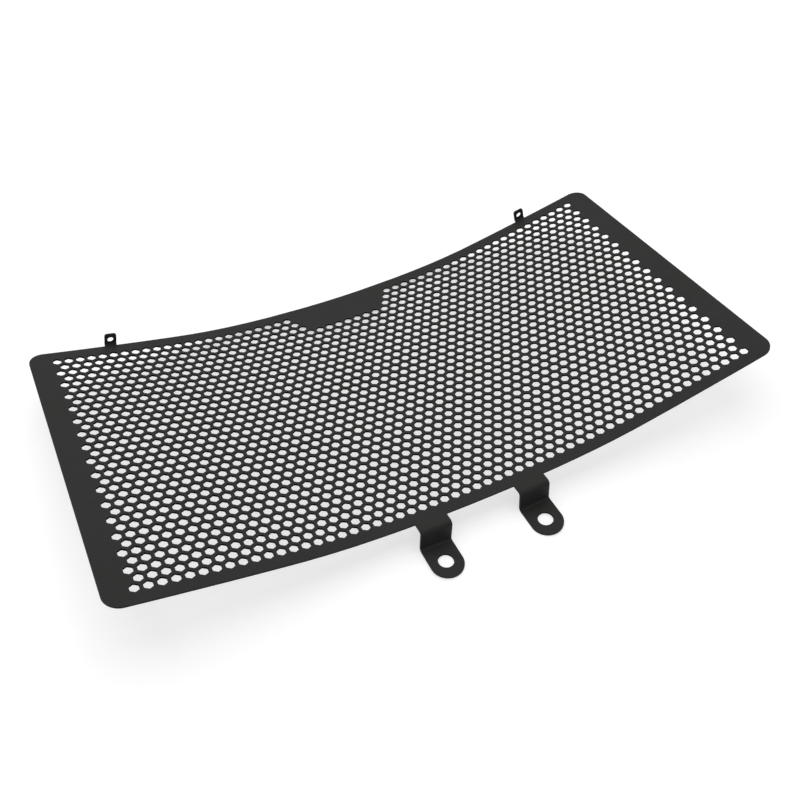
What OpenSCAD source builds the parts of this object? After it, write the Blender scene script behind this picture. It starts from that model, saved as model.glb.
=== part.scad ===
// Motorcycle radiator guard, in millimetres.
// One steel sheet: cut and perforated flat, its four tabs folded, then rolled a little so that its ends
// reach forward. It stands in front of the radiator and lets air through while it stops stones.
//
// It is drawn as it lies on its back on a bench: +Z is the front, which is the hollow side of the roll,
// X runs along the roll, and +Y is the edge with the two small tabs. The sheet leans there, resting on
// its two feet and on the middle of its +Y edge. The origin is midway between the two foot holes, at the
// bench.

/* [Sheet] */
// Length of the flat blank, along the roll
sheet_length = 418; // [330:2:460]
// Width of the flat blank, between its two long edges
sheet_width = 214; // [150:2:240]
// Thickness of the sheet
thick = 1.2; // [0.8:0.1:2]
// Radius of the blank's four corners
corner_r = 9.5; // [3:0.5:14]

/* [Roll] */
// Radius of the roll in the middle of the sheet
mid_r = 750; // [500:10:1500]
// Reach of the middle radius to each side, along the sheet
mid_reach = 70; // [50:1:100]
// Radius of the tighter roll beside the middle
shoulder_r = 425; // [300:5:900]
// Length of the tighter roll on each side, along the sheet
shoulder_reach = 44; // [20:1:60]
// Radius of the nearly straight ends
end_r = 2800; // [1500:50:5000]
// Width of the flats that make up the roll
flat_width = 14; // [7:1:16]

/* [Perforation] */
// Spacing of neighbouring holes, centre to centre
pitch = 7; // [6.5:0.1:10]
// Width of a hole across its flats
hole_across = 5; // [3:0.1:5.5]
// Unperforated border along the two long edges, up to the outermost holes
side_border = 7; // [4:0.5:20]
// Unperforated border at the two ends
end_border = 14; // [6:0.5:30]
// Rows of holes left out in the middle of the +Y edge
plain_rows = 3; // [0:1:8]
// Holes left out of the outermost of those rows, one less in each row further in
plain_holes = 10; // [4:2:20]

/* [Feet] */
// Distance of each foot's middle from the middle of the sheet, along the sheet
foot_from_mid = 31.5; // [25:0.5:34]
// Width of a foot
foot_width = 19.5; // [14:0.5:24]
// Length of the flat neck between the sheet's edge and the first fold
foot_neck = 4.8; // [2:0.2:10]
// Inner radius of a foot's two folds
foot_fold_r = 1.4; // [0.8:0.1:3]
// Angle of the first fold, away from the front
foot_fold = 91.5; // [80:0.5:95]
// Length of the straight wall between the two folds
foot_wall = 10.4; // [6:0.2:20]
// Length of the straight stretch before the foot's round end
foot_length = 12; // [8:0.5:20]
// Diameter of a foot's bolt hole
foot_hole_d = 9; // [5:0.5:10]
// Distance of the bolt hole's centre from the centre of the round end, towards the sheet
foot_hole_back = 1.3; // [0:0.1:3]

/* [Upper tabs] */
// Distance of each tab's middle from the middle of the sheet, along the sheet
tab_from_mid = 157; // [145:0.5:160]
// Width of a tab
tab_width = 7.5; // [6:0.5:12]
// Inner radius of a tab's fold
tab_fold_r = 1; // [0.8:0.1:3]
// Length of a tab beyond its fold
tab_length = 7.3; // [6.5:0.1:14]
// Radius of the two corners at a tab's end
tab_corner_r = 1.6; // [0.5:0.1:2.5]
// Diameter of a tab's hole
tab_hole_d = 4; // [2:0.1:4.5]
// Distance of the hole's centre from a tab's end
tab_hole_in = 4.5; // [3.5:0.1:5]

/* [Hidden] */
$fn = 64;

// How far a cutting shape stands clear of what it cuts
clear = 1;
// Length of sheet kept flat on each side of a tab's root
root_margin = 0.5;
// Number of flats in each fold
fold_steps = 10;

// A place on the roll is [x, z, slope]. This one moves along an arc of radius r.
function rolled(p, l, r) = let (a = p[2] + l / r * 180 / PI)
    [p[0] + r * (sin(a) - sin(p[2])), p[1] - r * (cos(a) - cos(p[2])), a];

// The place that lies q along the sheet from its middle
function place(q) = let (mid = rolled([0, 0, 0], min(q, mid_reach), mid_r),
    shoulder = rolled(mid, min(max(q - mid_reach, 0), shoulder_reach), shoulder_r))
    rolled(shoulder, max(q - mid_reach - shoulder_reach, 0), end_r);

// The creases between the flats, which leave out each tab's root
half_length = sheet_length / 2;
half_width = sheet_width / 2;
function at_root(q) = abs(q - foot_from_mid) < foot_width / 2 + root_margin
    || abs(q - tab_from_mid) < tab_width / 2 + root_margin;
creases = [for (q = [flat_width / 2:flat_width:half_length - flat_width / 4]) if (!at_root(q)) q];
folds = [for (q = concat(creases, [half_length])) place(q)];
slopes = [for (k = [1:len(folds) - 1])
    atan2(folds[k][1] - folds[k - 1][1], folds[k][0] - folds[k - 1][0])];
slope_before = concat([0], slopes);
slope_after = concat(slopes, [slopes[len(slopes) - 1]]);

// The back of the sheet at each crease, one thickness behind both flats that meet there
behind = [for (k = [0:len(folds) - 1]) let (
    a = (slope_before[k] + slope_after[k]) / 2,
    d = thick / cos((slope_after[k] - slope_before[k]) / 2))
    [folds[k][0] + d * sin(a), folds[k][1] - d * cos(a)]];

// The flat that holds a place q along the sheet: [x, z, slope] of that place on it
function on_flat(q) = let (
    k = max([for (j = [0:len(creases) - 1]) if (creases[j] <= q) j]),
    a = slopes[k],
    l = (q - creases[k]) * norm([folds[k + 1][0] - folds[k][0], folds[k + 1][1] - folds[k][1]])
        / ((k + 1 < len(creases) ? creases[k + 1] : half_length) - creases[k]))
    [folds[k][0] + l * cos(a), folds[k][1] + l * sin(a), a];

// A place on a folded strip is [y, z, slope]: y outwards from the sheet's edge, z up from the sheet's
// front, slope downwards. These move ahead on its front face, straight or round a fold of radius r.
function ahead(p, l) = [p[0] + l * cos(p[2]), p[1] - l * sin(p[2]), p[2]];
function folded(p, r, a) =
    [p[0] + r * (sin(p[2] + a) - sin(p[2])), p[1] + r * (cos(p[2] + a) - cos(p[2])), p[2] + a];
function fold(p, r, a) = [for (k = [1:fold_steps]) folded(p, r, a * k / fold_steps)];

// The lean of the sheet at rest, to a hundredth of a degree: the feet's undersides are then level across
// the sheet, and as low as the lower corner of the +Y edge in the middle of the sheet
foot_root = on_flat(foot_from_mid);
foot_drop = foot_root[1] - foot_width / 2 * sin(foot_root[2]) - folds[0][1];
lean_y = 2 * half_width + foot_neck + (2 * foot_fold_r + thick) * sin(foot_fold)
    + foot_wall * cos(foot_fold);
lean_z = foot_drop - foot_fold_r + (2 * foot_fold_r + thick) * cos(foot_fold)
    - foot_wall * sin(foot_fold);
lean = round(100 * (asin((foot_fold_r + thick) / norm([lean_y, lean_z])) - atan2(lean_z, lean_y))) / 100;

// Height of the sheet's middle above the bench
rest_height = half_width * sin(lean) - (folds[0][1] - thick) * cos(lean);

// A foot's places in turn: the neck, a fold back, the wall, a fold forward again and the plate
foot_first = fold(ahead([0, 0, 0], foot_neck), foot_fold_r + thick, foot_fold);
foot_second = fold(ahead(foot_first[fold_steps - 1], foot_wall), -foot_fold_r, lean - foot_fold);
foot_plate = foot_second[fold_steps - 1];
foot_line = concat([[0, 0, 0], ahead([0, 0, 0], foot_neck)], foot_first,
    [ahead(foot_first[fold_steps - 1], foot_wall)], foot_second,
    [ahead(foot_plate, foot_length + foot_width / 2 + clear)]);

// The foot hole's place on the foot's front face, and its place on the bench before the origin is set
foot_hole = ahead(foot_plate, foot_length - foot_hole_back);
foot_hole_x = foot_root[0] - foot_hole[1] * sin(foot_root[2]);
foot_hole_z = foot_root[1] + foot_hole[1] * cos(foot_root[2]);
foot_hole_y = -(half_width + foot_hole[0]) * cos(lean) + foot_hole_z * sin(lean);
// How much higher a foot's outer side lies than its inner side
foot_rise = foot_width * sin(foot_root[2]);

// An upper tab's places in turn: a fold forward and a short plate, which is upright at rest
tab_fold = 90 + lean;
tab_first = fold([0, 0, 0], -tab_fold_r, -tab_fold);
tab_end = ahead(tab_first[fold_steps - 1], tab_length);
tab_line = concat([[0, 0, 0]], tab_first, [tab_end]);

// The tab hole's place on the tab's front face, and its place on the bench
tab_root = on_flat(tab_from_mid);
tab_hole = ahead(tab_end, -tab_hole_in);
tab_hole_x = tab_root[0] - tab_hole[1] * sin(tab_root[2]);
tab_hole_flat_z = tab_root[1] + tab_hole[1] * cos(tab_root[2]);
tab_hole_z = tab_hole_flat_z * cos(lean) - (half_width + tab_hole[0]) * sin(lean) + rest_height;
tab_hole_y = tab_hole_flat_z * sin(lean) + (half_width + tab_hole[0]) * cos(lean) - foot_hole_y;

// The grid: rows lie along the sheet and columns half a pitch apart, and every second place is a hole
row_gap = pitch * sqrt(3) / 2;
hole_corner_r = hole_across / sqrt(3);
last_row = floor((half_width - side_border - hole_corner_r) / row_gap);
last_column = floor((half_length - end_border - hole_across / 2) / (pitch / 2));
// Each hole has one round wall here, with the open area of the hexagon
hole_d = hole_across * sqrt(2 * sqrt(3) / PI);

// Is the hole of this row and column one of those left out?
function plain(row, column) = let (step = last_row - row)
    step < plain_rows && abs(column) < plain_holes - step;

// Takes its children to a place q along the rolled sheet, upright on its front face
module along(q) {
    p = place(abs(q));
    translate([sign(q) * p[0], 0, p[1]])
        rotate([0, -sign(q) * p[2], 0]) children();
}

// Takes its children to the root of a tab: +Y out of the sheet's edge, +Z up from its front face
module at_edge(root, side, edge) {
    translate([side * root[0], edge * half_width, root[1]])
        rotate([0, -side * root[2], 0])
            rotate([0, 0, edge > 0 ? 0 : 180]) children();
}

// A strip of sheet that follows a line of places, as one profile drawn out to the strip's width
module folded_strip(w, line) {
    n = len(line) - 1;
    front = [for (p = line) [p[0], p[1]]];
    back = [for (k = [n:-1:0]) [line[k][0] - thick * sin(line[k][2]), line[k][1] - thick * cos(line[k][2])]];
    rotate([90, 0, 90])
        linear_extrude(w, center = true) polygon(concat(front, back));
}

// Takes its children to a place on a strip, with +Y along the strip and +Z up from its front face
module on_strip(p) {
    translate([0, p[0], p[1]]) rotate([-p[2], 0, 0]) children();
}

// The rolled sheet, with square corners
module rolled_sheet() {
    n = len(folds) - 1;
    front = concat([for (k = [n:-1:0]) [-folds[k][0], folds[k][1]]],
        [for (k = [0:n]) [folds[k][0], folds[k][1]]]);
    back = concat([for (k = [n:-1:0]) behind[k]],
        [for (k = [0:n]) [-behind[k][0], behind[k][1]]]);
    rotate([90, 0, 0])
        linear_extrude(sheet_width, center = true) polygon(concat(front, back));
}

// What is cut away to round a corner by radius r, about the centre of that radius
module corner(side, edge, r) {
    translate([0, 0, -thick - clear])
        linear_extrude(thick + 2 * clear) difference() {
            translate([side > 0 ? 0 : -r - clear, edge > 0 ? 0 : -r - clear]) square(r + clear);
            circle(r);
        }
}

// What is cut away to round one corner of the blank
module corner_cut(side, edge) {
    along(side * (half_length - corner_r))
        translate([0, edge * (half_width - corner_r), 0]) corner(side, edge, corner_r);
}

// What is cut away to give a foot its round end
module foot_end_cut() {
    on_strip(ahead(foot_plate, foot_length))
        translate([0, 0, -thick - clear])
            linear_extrude(thick + 2 * clear) difference() {
                translate([-foot_width / 2 - clear, 0])
                    square([foot_width + 2 * clear, foot_width / 2 + 2 * clear]);
                circle(d = foot_width);
            }
}

// What is cut away to round the two corners at a tab's end
module tab_end_cuts() {
    on_strip(ahead(tab_end, -tab_corner_r))
        for (side = [-1, 1])
            translate([side * (tab_width / 2 - tab_corner_r), 0, 0]) corner(side, 1, tab_corner_r);
}

// The holes of one column
module column_of_holes(column) {
    along(column * pitch / 2)
        translate([0, 0, -thick - clear])
            linear_extrude(thick + 2 * clear)
                for (row = [-last_row:last_row])
                    if ((row + column) % 2 != 0 && !plain(row, column))
                        translate([0, row * row_gap]) circle(d = hole_d, $fn = 48);
}

// Takes the sheet from its own frame, level in the middle, to the bench
module at_rest() {
    translate([0, -foot_hole_y, rest_height]) rotate([-lean, 0, 0]) children();
}

// The rolled sheet with its four tabs folded, before anything is cut from it
module formed_sheet() {
    rolled_sheet();
    for (side = [-1, 1]) {
        at_edge(foot_root, side, -1) folded_strip(foot_width, foot_line);
        at_edge(tab_root, side, 1) folded_strip(tab_width, tab_line);
    }
}

// The bolt holes. Those of a pair are parallel, so that two bolts go straight through the pair.
module bolt_holes() {
    for (side = [-1, 1]) {
        translate([side * foot_hole_x, 0, -clear])
            cylinder(d = foot_hole_d, h = thick + foot_rise + 2 * clear);
        translate([side * tab_hole_x, tab_hole_y + thick + clear, tab_hole_z])
            rotate([90, 0, 0]) cylinder(d = tab_hole_d, h = thick + 2 * clear);
    }
}

module radiator_guard() {
    color([0.2, 0.2, 0.2]) difference() {
        at_rest() formed_sheet();
        at_rest() {
            for (side = [-1, 1], edge = [-1, 1]) corner_cut(side, edge);
            for (side = [-1, 1]) {
                at_edge(foot_root, side, -1) foot_end_cut();
                at_edge(tab_root, side, 1) tab_end_cuts();
            }
            for (column = [-last_column:last_column]) column_of_holes(column);
        }
        bolt_holes();
    }
}

radiator_guard();
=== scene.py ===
# Looks of the motorcycle radiator guard: one perforated, rolled and folded steel sheet, powder coated black.
# The sheet is laid out flat as one blank with its two feet and two tabs, filled with triangles between its
# outline and its 1805 hexagonal holes, and then taken through the same roll and folds as the solid.
import math
import bpy
import numpy as np
from mathutils import Euler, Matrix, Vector
from mathutils.geometry import delaunay_2d_cdt

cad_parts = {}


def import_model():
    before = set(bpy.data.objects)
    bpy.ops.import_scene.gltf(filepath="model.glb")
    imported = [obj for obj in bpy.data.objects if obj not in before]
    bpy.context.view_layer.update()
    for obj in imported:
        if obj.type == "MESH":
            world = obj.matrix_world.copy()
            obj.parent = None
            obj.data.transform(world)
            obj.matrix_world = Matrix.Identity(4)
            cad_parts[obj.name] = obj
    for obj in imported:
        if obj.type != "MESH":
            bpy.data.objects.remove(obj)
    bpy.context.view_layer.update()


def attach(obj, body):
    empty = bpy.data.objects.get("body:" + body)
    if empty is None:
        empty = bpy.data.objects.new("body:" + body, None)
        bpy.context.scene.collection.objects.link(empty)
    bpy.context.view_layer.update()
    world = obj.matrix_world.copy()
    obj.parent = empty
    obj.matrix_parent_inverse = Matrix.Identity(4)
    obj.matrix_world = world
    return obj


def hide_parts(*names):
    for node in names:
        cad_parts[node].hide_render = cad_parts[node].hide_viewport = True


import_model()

# Sizes in millimetres and angles in degrees, as in the solid's source
SHEET_LENGTH, SHEET_WIDTH, THICK, CORNER_R = 418.0, 214.0, 1.2, 9.5
MID_R, MID_REACH = 750.0, 70.0
SHOULDER_R, SHOULDER_REACH = 425.0, 44.0
END_R, FLAT_WIDTH, ROOT_MARGIN = 2800.0, 14.0, 0.5
PITCH, HOLE_ACROSS, SIDE_BORDER, END_BORDER = 7.0, 5.0, 7.0, 14.0
PLAIN_ROWS, PLAIN_HOLES = 3, 10
FOOT_FROM_MID, FOOT_WIDTH, FOOT_NECK, FOOT_FOLD_R = 31.5, 19.5, 4.8, 1.4
FOOT_FOLD, FOOT_WALL, FOOT_LENGTH, FOOT_HOLE_D, FOOT_HOLE_BACK = 91.5, 10.4, 12.0, 9.0, 1.3
TAB_FROM_MID, TAB_WIDTH, TAB_FOLD_R, TAB_LENGTH = 157.0, 7.5, 1.0, 7.3
TAB_CORNER_R, TAB_HOLE_D, TAB_HOLE_IN = 1.6, 4.0, 4.5
LEAN, FOOT_HOLE_Y, REST_HEIGHT = math.radians(3.65), -126.775, 7.97674

# Detail that only the looks have: the coat's soft rims, and the soft corners that the laser leaves in a hole
RIM, HOLE_CORNER = 0.05, 0.3

# How finely the mesh follows folds and rounds, and its longest step along a straight edge
FOLD_STEPS, CORNER_STEPS, TAB_CORNER_STEPS, FOOT_END_STEPS, ROUND_HOLE_STEPS = 12, 16, 8, 32, 40
EDGE_STEP = 5.0

HALF_LENGTH, HALF_WIDTH = SHEET_LENGTH / 2, SHEET_WIDTH / 2


# The roll: a place is (x, z, slope)
def rolled(p, length, r):
    """The place that an arc of this length and radius reaches from p."""
    a = p[2] + length / r
    return (p[0] + r * (math.sin(a) - math.sin(p[2])), p[1] - r * (math.cos(a) - math.cos(p[2])), a)


def place(q):
    """The place on the smooth roll at a distance q from the middle of the blank."""
    mid = rolled((0.0, 0.0, 0.0), min(q, MID_REACH), MID_R)
    shoulder = rolled(mid, min(max(q - MID_REACH, 0.0), SHOULDER_REACH), SHOULDER_R)
    return rolled(shoulder, max(q - MID_REACH - SHOULDER_REACH, 0.0), END_R)


def at_root(q):
    """True where a crease would cut through the root of a foot or a tab."""
    return (abs(q - FOOT_FROM_MID) < FOOT_WIDTH / 2 + ROOT_MARGIN
            or abs(q - TAB_FROM_MID) < TAB_WIDTH / 2 + ROOT_MARGIN)


creases = [q for q in np.arange(FLAT_WIDTH / 2, HALF_LENGTH - FLAT_WIDTH / 4, FLAT_WIDTH) if not at_root(q)]
fold_q = np.array([0.0] + creases + [HALF_LENGTH])
fold_at = [place(q) for q in fold_q]
fold_x = np.array([p[0] for p in fold_at])
fold_z = np.array([p[1] for p in fold_at])
fold_z[0] = fold_z[1]  # the middle flat is level


def on_sheet(q):
    """x and z of the front face at q, on the same flats as the solid, and the smooth roll's slope there."""
    return np.interp(abs(q), fold_q, fold_x), np.interp(abs(q), fold_q, fold_z), place(abs(q))[2]


def root_slope(q):
    """The slope of the flat that a strip at q grows from."""
    k = int(np.searchsorted(fold_q, q)) - 1
    return math.atan2(fold_z[k + 1] - fold_z[k], fold_x[k + 1] - fold_x[k])


# A foot or a tab is a folded strip: a place is (y, z, slope), y outwards from the sheet's edge and z up from
# its front face
def ahead(p, length):
    """The place straight on from p."""
    return (p[0] + length * math.cos(p[2]), p[1] - length * math.sin(p[2]), p[2])


def folded(p, r, a):
    """The place after a fold by the angle a, in radians. Down is positive, and r has the sign of a."""
    b = p[2] + a
    return (p[0] + r * (math.sin(b) - math.sin(p[2])), p[1] + r * (math.cos(b) - math.cos(p[2])), b)


class Strip:
    """A strip's stretches, each straight or a fold, along the developed length of its front face.

    side is -1 or 1 along X, edge is -1 for a foot or 1 for a tab, and cross lists where lines go across it.
    """

    def __init__(self, side, edge, from_mid, width, stretches):
        self.side, self.edge, self.from_mid, self.width = side, edge, from_mid, width
        self.slope = root_slope(from_mid)
        self.stretches, self.length, self.cross = [], 0.0, []
        p = (0.0, 0.0, 0.0)
        for length, r, a in stretches:
            if a:
                length = abs(r * a)
                self.cross += [self.length + length * k / FOLD_STEPS for k in range(FOLD_STEPS + 1)]
            self.stretches.append((self.length, length, p, r, a))
            p = folded(p, r, a) if a else ahead(p, length)
            self.length += length

    def place(self, s):
        """The place at the developed length s from the sheet's edge."""
        for start, length, p, r, a in reversed(self.stretches):
            if s >= start:
                return folded(p, r, a * (s - start) / length) if a else ahead(p, s - start)


def foot(side):
    return Strip(side, -1, FOOT_FROM_MID, FOOT_WIDTH, [
        (FOOT_NECK, 0, 0),
        (0, FOOT_FOLD_R + THICK, math.radians(FOOT_FOLD)),
        (FOOT_WALL, 0, 0),
        (0, -FOOT_FOLD_R, LEAN - math.radians(FOOT_FOLD)),
        (FOOT_LENGTH + FOOT_WIDTH / 2, 0, 0)])


def upper_tab(side):
    return Strip(side, 1, TAB_FROM_MID, TAB_WIDTH, [
        (0, -TAB_FOLD_R, -math.pi / 2 - LEAN),
        (TAB_LENGTH, 0, 0)])


strips = {(side, edge): (foot if edge < 0 else upper_tab)(side) for side in (-1, 1) for edge in (-1, 1)}


def arc(cx, cy, r, a0, a1, steps):
    """Points on a circle from the angle a0 to a1, in degrees, with both ends."""
    return [(cx + r * math.cos(math.radians(a0 + (a1 - a0) * k / steps)),
             cy + r * math.sin(math.radians(a0 + (a1 - a0) * k / steps))) for k in range(steps + 1)]


def between(p, q):
    """Points from p up to q, without q, no more than EDGE_STEP apart."""
    n = max(1, math.ceil(math.dist(p, q) / EDGE_STEP))
    return [(p[0] + (q[0] - p[0]) * k / n, p[1] + (q[1] - p[1]) * k / n) for k in range(n)]


# The blank's outline, counterclockwise, one half of it per long edge. Each strip goes out and back.
def strip_outline(strip):
    """The strip's outline in its own axes: across it and outwards, from its right side to its left."""
    w, r = strip.width / 2, TAB_CORNER_R
    if strip.edge < 0:
        straight = strip.length - w
        end = arc(0, straight, w, 0, 180, FOOT_END_STEPS)
    else:
        straight = strip.length - r
        end = arc(w - r, straight, r, 0, 90, TAB_CORNER_STEPS)
        end += arc(r - w, straight, r, 90, 180, TAB_CORNER_STEPS)
    ups = [s for s in strip.cross if s > 0]
    ups.append((ups[-1] + straight) / 2)
    return [(w, 0.0)] + [(w, s) for s in ups] + end + [(-w, s) for s in reversed(ups)] + [(-w, 0.0)]


def edge_points(edge):
    """One long edge of the blank, from the end of one corner to the start of the next, counterclockwise."""
    way = -edge  # the lower edge runs towards +X
    points, at = [], (-way * (HALF_LENGTH - CORNER_R), edge * HALF_WIDTH)
    for side in (-way, way):
        strip = strips[(side, edge)]
        mid = side * strip.from_mid
        out = [(mid + edge * a, edge * (HALF_WIDTH + s)) for a, s in strip_outline(strip)]
        points += between(at, out[0]) + out[:-1]
        at = out[-1]
    return points + between(at, (way * (HALF_LENGTH - CORNER_R), edge * HALF_WIDTH))


cx, cy = HALF_LENGTH - CORNER_R, HALF_WIDTH - CORNER_R
outline = edge_points(-1)
outline += arc(cx, -cy, CORNER_R, -90, 0, CORNER_STEPS)[:-1]
outline += between((HALF_LENGTH, -cy), (HALF_LENGTH, cy))
outline += arc(cx, cy, CORNER_R, 0, 90, CORNER_STEPS)[:-1]
outline += edge_points(1)
outline += arc(-cx, cy, CORNER_R, 90, 180, CORNER_STEPS)[:-1]
outline += between((-HALF_LENGTH, cy), (-HALF_LENGTH, -cy))
outline += arc(-cx, -cy, CORNER_R, 180, 270, CORNER_STEPS)[:-1]

# The holes, clockwise, so that the sheet lies to the left of every loop
row_gap = PITCH * math.sqrt(3) / 2
corner_reach = HOLE_ACROSS / math.sqrt(3)
last_row = int((HALF_WIDTH - SIDE_BORDER - corner_reach) / row_gap)
last_column = int((HALF_LENGTH - END_BORDER - HOLE_ACROSS / 2) / (PITCH / 2))
corners = [Vector((corner_reach * math.sin(math.pi / 3 * k), corner_reach * math.cos(math.pi / 3 * k)))
           for k in range(6)]
hexagon = []
for k, corner in enumerate(corners):
    for beside in (corners[k - 1], corners[(k + 1) % 6]):
        p = corner + (beside - corner).normalized() * HOLE_CORNER
        hexagon.append((p.x, p.y))
loops = [outline]
for column in range(-last_column, last_column + 1):
    for row in range(-last_row, last_row + 1):
        step = last_row - row
        if (row + column) % 2 and not (step < PLAIN_ROWS and abs(column) < PLAIN_HOLES - step):
            loops.append([(column * PITCH / 2 + x, row * row_gap + y) for x, y in hexagon])
for strip in strips.values():
    if strip.edge < 0:
        s, r = strip.length - FOOT_WIDTH / 2 - FOOT_HOLE_BACK, FOOT_HOLE_D / 2
    else:
        s, r = strip.length - TAB_HOLE_IN, TAB_HOLE_D / 2
    hole_at = (strip.side * strip.from_mid, strip.edge * (HALF_WIDTH + s))
    loops.append(arc(*hole_at, r, 360, 0, ROUND_HOLE_STEPS)[:-1])

# The points of all loops in one row, each with the point ahead of it and the one behind it in its loop
true_loop = np.concatenate([np.array(loop) for loop in loops])
sizes = [len(loop) for loop in loops]
starts = np.cumsum([0] + sizes)
loop_of = np.repeat(np.arange(len(loops)), sizes)
ahead_of = np.concatenate([np.roll(np.arange(n), -1) + s for n, s in zip(sizes, starts)])
back_of = np.concatenate([np.roll(np.arange(n), 1) + s for n, s in zip(sizes, starts)])

# The loops a rim's width inside the sheet, and each point's direction out of the sheet
leg = true_loop[ahead_of] - true_loop
size = np.linalg.norm(leg, axis=1, keepdims=True)
out = np.stack([leg[:, 1], -leg[:, 0]], 1) / size
miter = out + out[back_of]
inset_loop = true_loop - RIM * miter / (1 + (out * out[back_of]).sum(1, keepdims=True))
wall_out = out * size ** 2 + out[back_of] * size[back_of] ** 2
wall_out /= np.linalg.norm(wall_out, axis=1, keepdims=True)

# Triangles between the loops. A line goes across each strip wherever it folds.
edges = [(int(i), int(j)) for i, j in zip(range(len(true_loop)), ahead_of)]
on_outline = {(round(float(x), 3), round(float(y), 3)): i for i, (x, y) in enumerate(outline)}
for strip in strips.values():
    for s in strip.cross:
        edges.append(tuple(on_outline[(round(strip.side * strip.from_mid + a * strip.width / 2, 3),
                                       round(strip.edge * (HALF_WIDTH + s), 3))] for a in (-1, 1)))
INSIDE, TOUCHING = 1, 1e-5  # triangles inside the loops alone; points this near in mm are one
made = delaunay_2d_cdt([Vector(p) for p in inset_loop], edges, [], INSIDE, TOUCHING, True)
source = [ids[0] if ids else -1 for ids in made[3]]
faces = np.array([[source[i] for i in f] for f in made[2]])
if (faces < 0).any():
    raise SystemExit("the triangulation made a point of its own")

# Out go the triangles that fill a hole, and those between the strips, outside the outline
one_loop = (loop_of[faces] == loop_of[faces[:, :1]]).all(1)
middle = inset_loop[faces].mean(1)
a, b = inset_loop[:sizes[0]], inset_loop[ahead_of[:sizes[0]]]
inside = np.zeros(len(faces), bool)
for (ax, ay), (bx, by) in zip(a, b):
    crosses = (ay > middle[:, 1]) != (by > middle[:, 1])
    if crosses.any():
        inside ^= crosses & (middle[:, 0] < ax + (bx - ax) * (middle[:, 1] - ay) / (by - ay))
faces = faces[~one_loop | ((loop_of[faces[:, 0]] == 0) & inside)]

# Layers from the front face to the back: the inset loops, two true loops, and the inset loops again
count = len(true_loop)
flat = np.concatenate([inset_loop, true_loop, true_loop, inset_loop])
depth = np.repeat([0.0, RIM, THICK - RIM, THICK], count)
facing = np.repeat([1.0, 0.0, 0.0, -1.0], count)
outward = np.concatenate([wall_out] * 4)

# Through the roll and the folds: each point's place and its normal
co, normal = np.zeros((4 * count, 3)), np.zeros((4 * count, 3))
for i, ((q, y), d, up, (ox, oy)) in enumerate(zip(flat, depth, facing, outward)):
    x, z, a = on_sheet(q)
    sign = math.copysign(1.0, q)
    s = abs(y) - HALF_WIDTH
    strip = strips[(sign, math.copysign(1.0, y))] if s > 0 else None
    if strip is None or abs(abs(q) - strip.from_mid) > strip.width / 2 + ROOT_MARGIN:
        n = np.array([-sign * math.sin(a), 0.0, math.cos(a)])
        along, across = np.array([math.cos(a), 0.0, sign * math.sin(a)]), np.array([0.0, 1.0, 0.0])
        p = np.array([sign * x, y, z]) - d * n
    else:
        yl, zl, slope = strip.place(s)
        a = strip.slope
        up_root = np.array([-sign * math.sin(a), 0.0, math.cos(a)])
        out_root = np.array([0.0, strip.edge, 0.0])
        along = np.array([math.cos(a), 0.0, sign * math.sin(a)])
        n = math.sin(slope) * out_root + math.cos(slope) * up_root
        across = strip.edge * (math.cos(slope) * out_root - math.sin(slope) * up_root)
        p = np.array([sign * x, strip.edge * HALF_WIDTH, z]) + yl * out_root + zl * up_root - d * n
    co[i] = p
    normal[i] = up * n if up else ox * along + oy * across

# Down to where the guard rests, and from millimetres to metres
turn = np.array([[1, 0, 0], [0, math.cos(LEAN), math.sin(LEAN)], [0, -math.sin(LEAN), math.cos(LEAN)]])
co = (co @ turn.T + np.array([0.0, -FOOT_HOLE_Y, REST_HEIGHT])) / 1000
normal = normal @ turn.T

# Between the layers: the front rims, the walls and the back rims
quads = []
for layer in range(3):
    upper, lower = layer * count, (layer + 1) * count
    i = np.arange(count)
    quads.append(np.stack([lower + i, lower + ahead_of, upper + ahead_of, upper + i], 1))
quads = np.concatenate(quads)
polygons = faces.tolist() + (faces[:, ::-1] + 3 * count).tolist() + quads.tolist()

# The walls of the holes take the second material, whose near-black colour is painted shade
in_hole = np.zeros(len(polygons), bool)
first_wall = 2 * len(faces) + count
in_hole[first_wall:first_wall + count] = loop_of > 0

mesh = bpy.data.meshes.new("perforated_sheet")
mesh.from_pydata(co.tolist(), [], polygons)
mesh.validate()
mesh.shade_smooth()
mesh.polygons.foreach_set("material_index", in_hole.astype(np.int32))
mesh.normals_split_custom_set_from_vertices(normal.tolist())
guard = bpy.data.objects.new("perforated_sheet", mesh)
bpy.context.scene.collection.objects.link(guard)
print("sheet:", len(mesh.vertices), "points,", sum(len(p.vertices) - 2 for p in mesh.polygons), "triangles")


# Black powder coat: a fine orange peel, a finer grain, and slight changes of tone and gloss. Each noise is
# (scale, detail, roughness), and a scale of 650 puts its lumps about 1.5 mm apart.
CLOUDS, CLOUD_TONE, WARMTH = (16.0, 3.0, 0.55), 0.05, 0.03
SPECKLE, SPECKLE_TONE = (2600.0, 1.0, 0.5), 0.14
GLOSS_PATCHES = (140.0, 2.0, 0.5)
PEEL, PEEL_STRENGTH, PEEL_DEPTH = (650.0, 2.0, 0.5), 0.35, 0.00006
GRAIN, GRAIN_STRENGTH, GRAIN_DEPTH = (3200.0, 1.0, 0.6), 0.3, 0.00002


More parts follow.
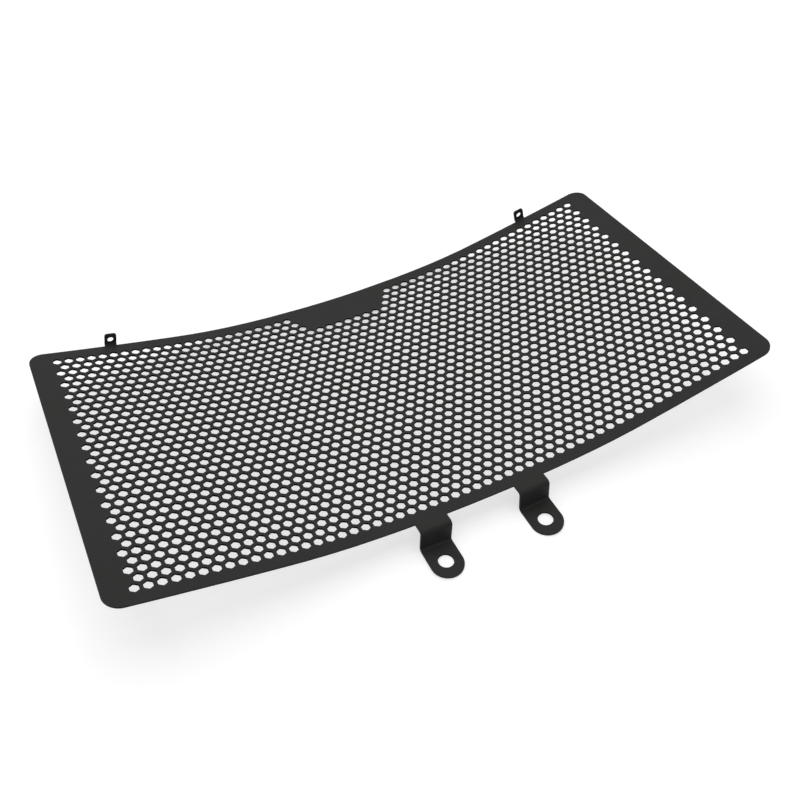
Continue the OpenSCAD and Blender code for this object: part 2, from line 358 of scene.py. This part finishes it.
def powder_coat(name, shade, gloss, level):
    """shade is the grey of its colour, gloss the roughness from its smoothest to its roughest spots."""
    m = bpy.data.materials.new(name)
    m.use_nodes = True
    t = m.node_tree
    t.nodes.clear()
    new, link = t.nodes.new, t.links.new
    surface = new("ShaderNodeOutputMaterial")
    bsdf = new("ShaderNodeBsdfPrincipled")
    bsdf.inputs["Specular IOR Level"].default_value = level
    bsdf.inputs["Metallic"].default_value = 0.0
    link(bsdf.outputs["BSDF"], surface.inputs["Surface"])
    where = new("ShaderNodeTexCoord")

    def noise(scale, detail, roughness):
        n = new("ShaderNodeTexNoise")
        n.inputs["Scale"].default_value = scale
        n.inputs["Detail"].default_value = detail
        n.inputs["Roughness"].default_value = roughness
        link(where.outputs["Object"], n.inputs["Vector"])
        return n.outputs["Fac"]

    def ramp(source, *stops):
        r = new("ShaderNodeValToRGB")
        r.color_ramp.elements[0].position, r.color_ramp.elements[0].color = stops[0]
        r.color_ramp.elements[1].position, r.color_ramp.elements[1].color = stops[-1]
        for position, colour in stops[1:-1]:
            r.color_ramp.elements.new(position).color = colour
        link(source, r.inputs["Fac"])
        return r.outputs["Color"]

    def grey(v, warm=0.0):
        return (v * (1 + warm), v, v * (1 - warm), 1.0)

    def bump(height, strength, depth):
        b = new("ShaderNodeBump")
        b.inputs["Strength"].default_value = strength
        b.inputs["Distance"].default_value = depth
        link(height, b.inputs["Height"])
        return b

    # Tone: wide soft clouds of a slightly warmer and a slightly cooler black, and a speckle of pigment
    clouds = ramp(noise(*CLOUDS),
                  (0.3, grey((1 - CLOUD_TONE) * shade, WARMTH)),
                  (0.5, grey(shade, WARMTH * 2 / 3)),
                  (0.7, grey((1 + CLOUD_TONE) * shade)))
    speckle = ramp(noise(*SPECKLE), (0.35, grey(1 - SPECKLE_TONE)), (0.65, grey(1 + SPECKLE_TONE)))
    tinted = new("ShaderNodeMix")
    tinted.data_type, tinted.blend_type = "RGBA", "MULTIPLY"
    tinted.inputs["Factor"].default_value = 1.0
    link(clouds, tinted.inputs["A"])
    link(speckle, tinted.inputs["B"])
    link(tinted.outputs["Result"], bsdf.inputs["Base Color"])

    # Gloss: uneven over a few millimetres
    patches = new("ShaderNodeMapRange")
    for end, value in (("From Min", 0.3), ("From Max", 0.7), ("To Min", gloss[0]), ("To Max", gloss[1])):
        patches.inputs[end].default_value = value
    link(noise(*GLOSS_PATCHES), patches.inputs["Value"])
    link(patches.outputs["Result"], bsdf.inputs["Roughness"])

    # Relief: the orange peel, with the powder's grain on it
    peel = bump(noise(*PEEL), PEEL_STRENGTH, PEEL_DEPTH)
    grain = bump(noise(*GRAIN), GRAIN_STRENGTH, GRAIN_DEPTH)
    link(peel.outputs["Normal"], grain.inputs["Normal"])
    link(grain.outputs["Normal"], bsdf.inputs["Normal"])
    return m


# The faces are satin. The walls of the holes are darker and more matt than a real coat is likely to be: their
# shade was chosen to come near the dark rims in the photo, which its sharpening deepens.
guard.data.materials.append(powder_coat("powder_coat", shade=0.031, gloss=(0.43, 0.53), level=0.06))
# The hole walls' near-black, matt colour without sheen is painted shade: the deep shade inside the holes
guard.data.materials.append(powder_coat("hole_walls_painted_shade", shade=0.004, gloss=(0.85, 0.95), level=0.0))
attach(guard, "root")
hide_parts("radiator_guard")

# The floor, and behind it the world, are white to the camera. The floor keeps the guard's shadow, and sends
# little light back up at the guard.
FLOOR_REACH, FLOOR_SEEN, FLOOR_BOUNCE, WHITE_LIFT = 8.0, 0.60, 0.30, 0.58
ROOM_LIGHT = 0.48


def seen(t):
    """1 for the rays that see the background: the camera's, and those of reflections and glass."""
    path = t.nodes.new("ShaderNodeLightPath")
    total = path.outputs["Is Camera Ray"]
    for name in ("Is Glossy Ray", "Is Transmission Ray"):
        add = t.nodes.new("ShaderNodeMath")
        add.operation, add.use_clamp = "ADD", True
        t.links.new(total, add.inputs[0])
        t.links.new(path.outputs[name], add.inputs[1])
        total = add.outputs["Value"]
    return total


def floor_material():
    m = bpy.data.materials.new("pale_floor")
    m.use_nodes = True
    t = m.node_tree
    t.nodes.clear()
    surface = t.nodes.new("ShaderNodeOutputMaterial")
    paper = t.nodes.new("ShaderNodeBsdfDiffuse")
    glow = t.nodes.new("ShaderNodeEmission")
    shows = seen(t)
    for low, high, socket in ((FLOOR_BOUNCE, FLOOR_SEEN, paper.inputs["Color"]),
                              (0, WHITE_LIFT, glow.inputs["Strength"])):
        pick = t.nodes.new("ShaderNodeMapRange")
        pick.inputs["To Min"].default_value = low
        pick.inputs["To Max"].default_value = high
        t.links.new(shows, pick.inputs["Value"])
        t.links.new(pick.outputs["Result"], socket)
    both = t.nodes.new("ShaderNodeAddShader")
    t.links.new(paper.outputs["BSDF"], both.inputs[0])
    t.links.new(glow.outputs["Emission"], both.inputs[1])
    t.links.new(both.outputs["Shader"], surface.inputs["Surface"])
    return m


def world():
    w = bpy.data.worlds.new("studio")
    bpy.context.scene.world = w
    w.use_nodes = True
    t = w.node_tree
    t.nodes.clear()
    surface = t.nodes.new("ShaderNodeOutputWorld")
    pick = t.nodes.new("ShaderNodeMixShader")
    t.links.new(seen(t), pick.inputs["Fac"])
    for slot, strength in ((1, ROOM_LIGHT), (2, 1.0)):
        sky = t.nodes.new("ShaderNodeBackground")
        sky.inputs["Color"].default_value = (1, 1, 1, 1)
        sky.inputs["Strength"].default_value = strength
        t.links.new(sky.outputs["Background"], pick.inputs[slot])
    t.links.new(pick.outputs["Shader"], surface.inputs["Surface"])


floor_mesh = bpy.data.meshes.new("floor")
square = [(x * FLOOR_REACH, y * FLOOR_REACH, 0) for x, y in ((-1, -1), (1, -1), (1, 1), (-1, 1))]
floor_mesh.from_pydata(square, [], [(0, 1, 2, 3)])
floor = bpy.data.objects.new("floor", floor_mesh)
floor.data.materials.append(floor_material())
bpy.context.scene.collection.objects.link(floor)
world()

# One wide softbox overhead, a little beyond the guard
LAMP_AT, LAMP_AIM, LAMP_SIZE, LAMP_POWER = Vector((0.0, 0.7, 1.8)), Vector((0.0, 0.1, 0.0)), 2.2, 18.5
light = bpy.data.lights.new("overhead", "AREA")
light.shape, light.size, light.energy = "SQUARE", LAMP_SIZE, LAMP_POWER
lamp = bpy.data.objects.new("overhead", light)
lamp.location = LAMP_AT
lamp.rotation_euler = (LAMP_AIM - LAMP_AT).to_track_quat("-Z", "Y").to_euler()
bpy.context.scene.collection.objects.link(lamp)

# The camera, fitted to the photographed holes, feet and outline
CAMERA_AT, CAMERA_TURN, LENS = (-0.181952, -0.25465, 0.436018), (43.8598, 0.4063, -26.1295), 42.2705
view = bpy.data.cameras.new("camera")
view.lens, view.sensor_width = LENS, 36.0
view.clip_start, view.clip_end = 0.01, 50.0
camera = bpy.data.objects.new("camera", view)
camera.location = CAMERA_AT
camera.rotation_euler = Euler([math.radians(a) for a in CAMERA_TURN])
bpy.context.scene.collection.objects.link(camera)
bpy.context.scene.camera = camera
bpy.context.scene.view_settings.view_transform = "Standard"
